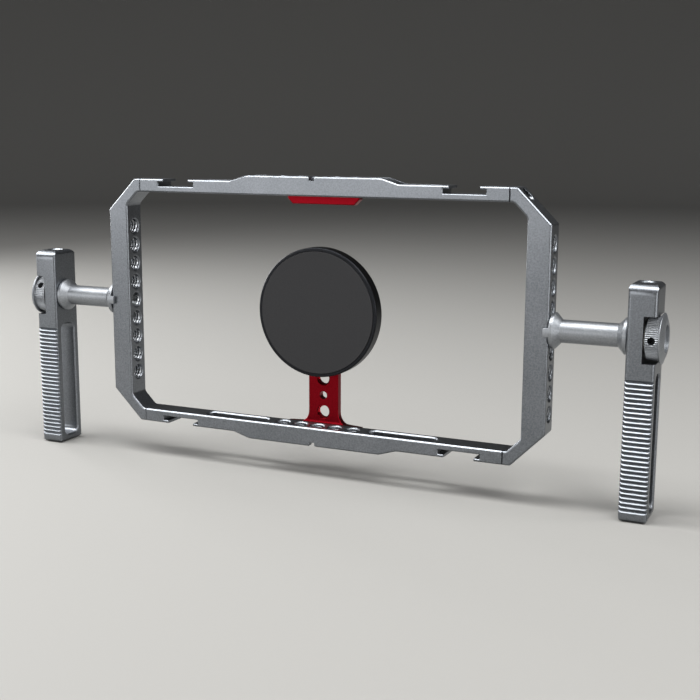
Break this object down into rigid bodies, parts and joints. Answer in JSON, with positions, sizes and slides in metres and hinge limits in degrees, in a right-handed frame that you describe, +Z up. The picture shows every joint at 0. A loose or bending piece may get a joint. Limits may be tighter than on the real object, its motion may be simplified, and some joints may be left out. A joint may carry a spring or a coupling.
{
  "type": "phone cage",
  "caption": "Metal cage frame for a phone, with drilled bars, shoe slots, a rear bracket with a magnetic holder and a ribbed turning grip on a post at each side.",
  "frame": {"origin": "mouth of the centre 1/4-20 socket under the bottom bar, where a support screws in", "axes": "+X to the right along the bars, +Y to the back through the frame, +Z up"},
  "size_m": [0.3044, 0.0273, 0.134],
  "materials": {
    "grey_anodised": "bead blasted and grey anodised",
    "red_anodised": "bead blasted and red anodised",
    "dark_anodised": "fine turned and black anodised",
    "black_steel": "black oxide",
    "bright_steel": "stainless, turned",
    "white_nylon": "natural nylon",
    "magnet_nickel": "nickel plated",
    "black_silicone": "matt silicone"
  },
  "bodies": {
    "cage": {"top_bar": "grey_anodised", "bottom_bar": "grey_anodised", "left_side_frame": "grey_anodised", "right_side_frame": "grey_anodised", "corner_screws": "black_steel", "back_bracket": "red_anodised", "bracket_screws": "black_steel", "upper_tab": "red_anodised", "tab_screws": "black_steel", "left_post": "grey_anodised", "right_post": "grey_anodised", "holder_cup": "dark_anodised", "magnet_backing": "bright_steel", "magnets": "magnet_nickel", "face_pad": "black_silicone", "holder_pin": "bright_steel"},
    "left_grip": {"left_grip": "grey_anodised"},
    "right_grip": {"right_grip": "grey_anodised"},
    "left_wheel": {"left_thumb_wheel": "grey_anodised", "left_clamp_bolt": "bright_steel", "left_grub_screw": "black_steel", "left_thrust_washer": "white_nylon"},
    "right_wheel": {"right_thumb_wheel": "grey_anodised", "right_clamp_bolt": "bright_steel", "right_grub_screw": "black_steel", "right_thrust_washer": "white_nylon"},
    "holder_screw": {"holder_stud": "bright_steel", "holder_knob": "dark_anodised"}
  },
  "joints": [
    {"name": "left_grip_turn", "type": "hinge", "parent": "cage", "child": "left_grip", "pos_m": [-0.1438, 0, 0.06], "axis": [1, 0, 0], "continuous": true},
    {"name": "left_wheel_turn", "type": "hinge", "parent": "cage", "child": "left_wheel", "pos_m": [-0.1496, 0, 0.06], "axis": [1, 0, 0], "continuous": true},
    {"name": "right_grip_turn", "type": "hinge", "parent": "cage", "child": "right_grip", "pos_m": [0.1438, 0, 0.06], "axis": [1, 0, 0], "continuous": true},
    {"name": "right_wheel_turn", "type": "hinge", "parent": "cage", "child": "right_wheel", "pos_m": [0.1496, 0, 0.06], "axis": [1, 0, 0], "continuous": true},
    {"name": "holder_knob_turn", "type": "hinge", "parent": "cage", "child": "holder_screw", "pos_m": [0, 0.00975, 0.06], "axis": [0, 1, 0], "continuous": true}
  ]
}
